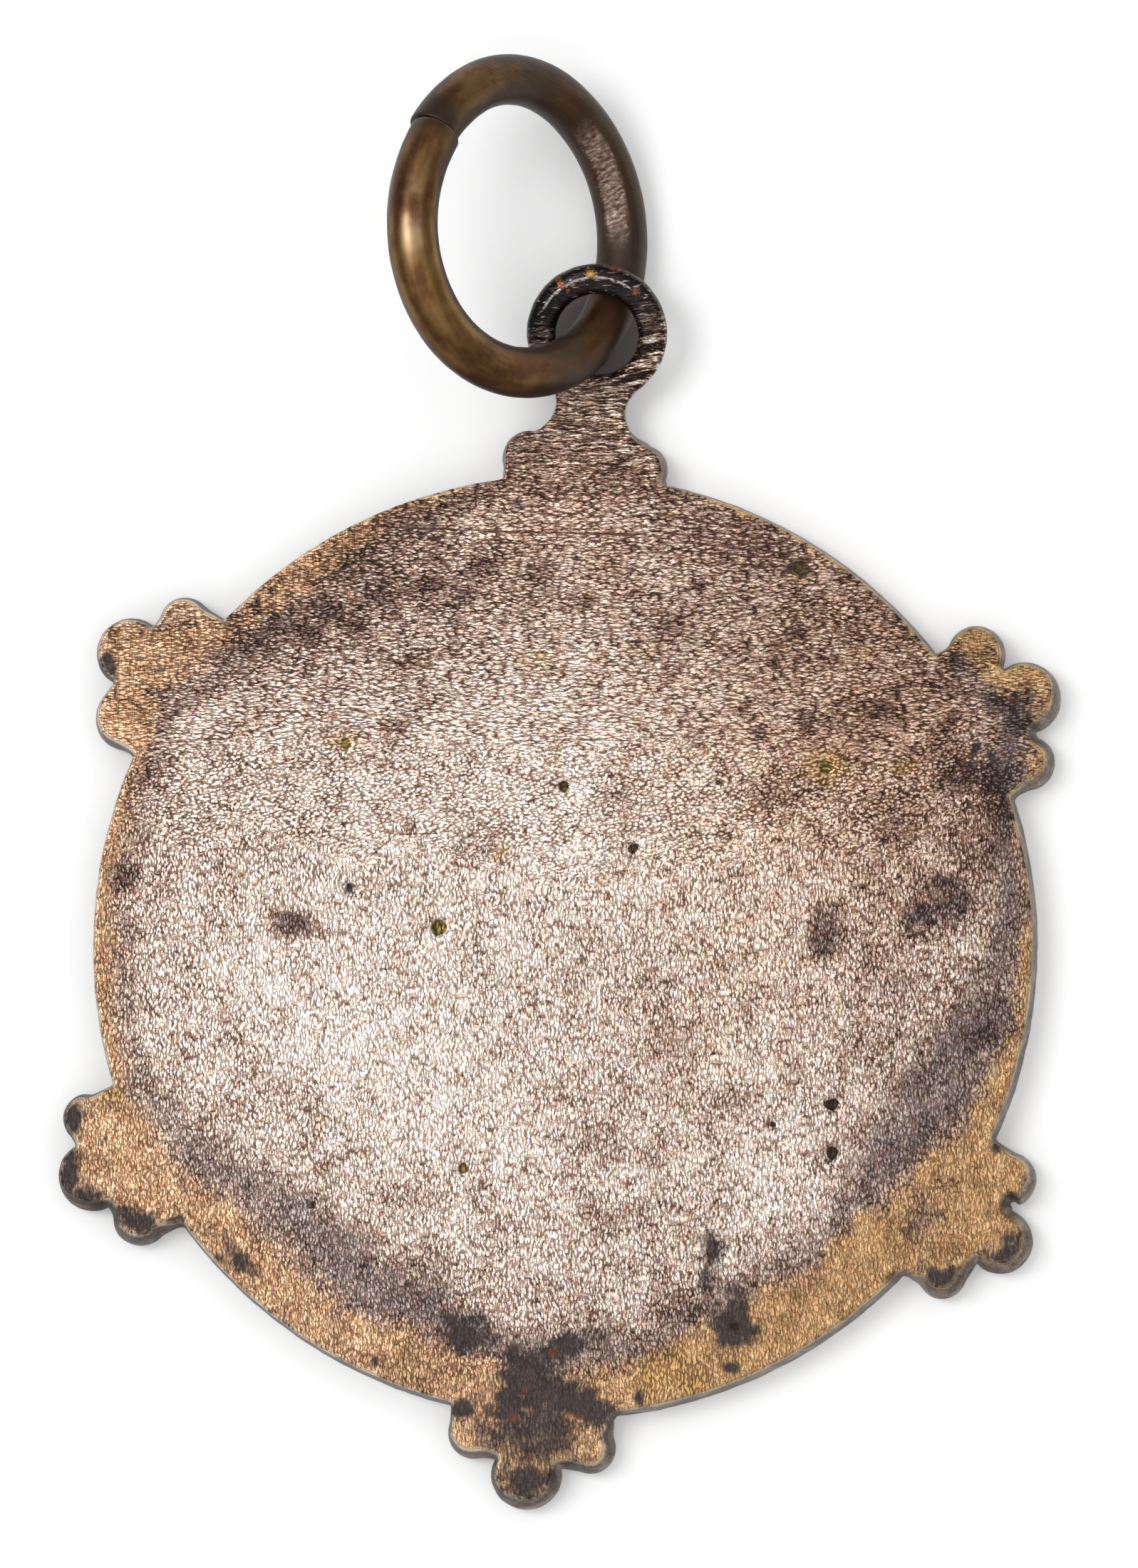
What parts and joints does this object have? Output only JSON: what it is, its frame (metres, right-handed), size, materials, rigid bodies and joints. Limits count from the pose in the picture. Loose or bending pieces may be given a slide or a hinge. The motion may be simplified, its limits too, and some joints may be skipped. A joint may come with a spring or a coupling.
{
  "type": "commemorative medal with suspension ring",
  "caption": "Round struck brass medal with trefoil finials round its edge, an eyelet on a waisted neck and a split wire ring for its ribbon.",
  "frame": {"origin": "the disc's centre on the plane that the front rim rests on, with the medal lying face down", "axes": "+Z out of the plain back face, +Y along the lug towards the eyelet, +X to the right as the back is seen"},
  "size_m": [0.0331, 0.0488, 0.0091],
  "materials": {
    "worn_brass": "tarnished and pitted, with the brass showing on worn edges",
    "aged_wire": "dark patina, rubbed bright along the wire"
  },
  "bodies": {
    "root": {"medal_body": "worn_brass", "suspension_ring": "aged_wire"}
  },
  "joints": []
}
